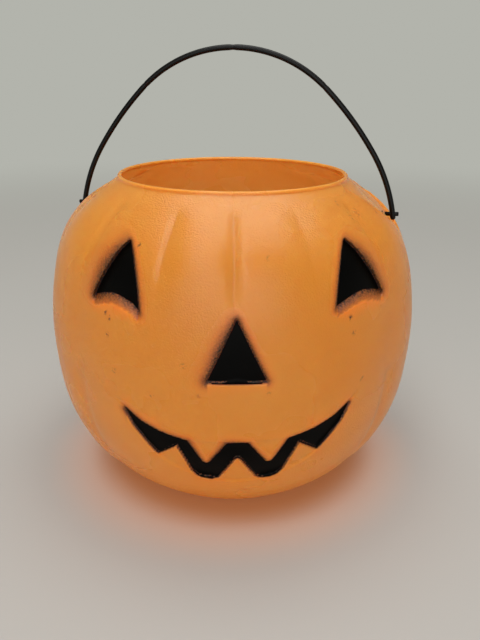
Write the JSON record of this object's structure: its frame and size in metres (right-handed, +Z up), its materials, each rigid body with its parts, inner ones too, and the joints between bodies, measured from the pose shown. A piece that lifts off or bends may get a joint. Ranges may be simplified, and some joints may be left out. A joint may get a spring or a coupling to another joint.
{
  "type": "pumpkin candy pail",
  "caption": "Round moulded pumpkin pail with a recessed, black-painted jack-o'-lantern face, a rolled lip and a bail handle that swings on pins in the shoulder.",
  "frame": {"origin": "middle of the foot, on the surface the pail stands on", "axes": "+Z up through the open mouth; the face looks towards -Y; +X to the face's right as seen from the front"},
  "size_m": [0.221, 0.2212, 0.2503],
  "materials": {
    "orange_polyethylene": "satin, pebbled, slightly translucent",
    "black_polyethylene": "smooth, half gloss",
    "black_paint": "sprayed satin paint"
  },
  "bodies": {
    "pail": {"pail_body": "orange_polyethylene", "left_eye_paint": "black_paint", "right_eye_paint": "black_paint", "nose_paint": "black_paint", "mouth_paint": "black_paint"},
    "handle": {"bail_handle": "black_polyethylene"}
  },
  "joints": [
    {"name": "bail_swing", "type": "hinge", "parent": "pail", "child": "handle", "pos_m": [0, 0, 0.1608], "axis": [0.9789, -0.2045, 0], "range_deg": [-66, 66]}
  ]
}
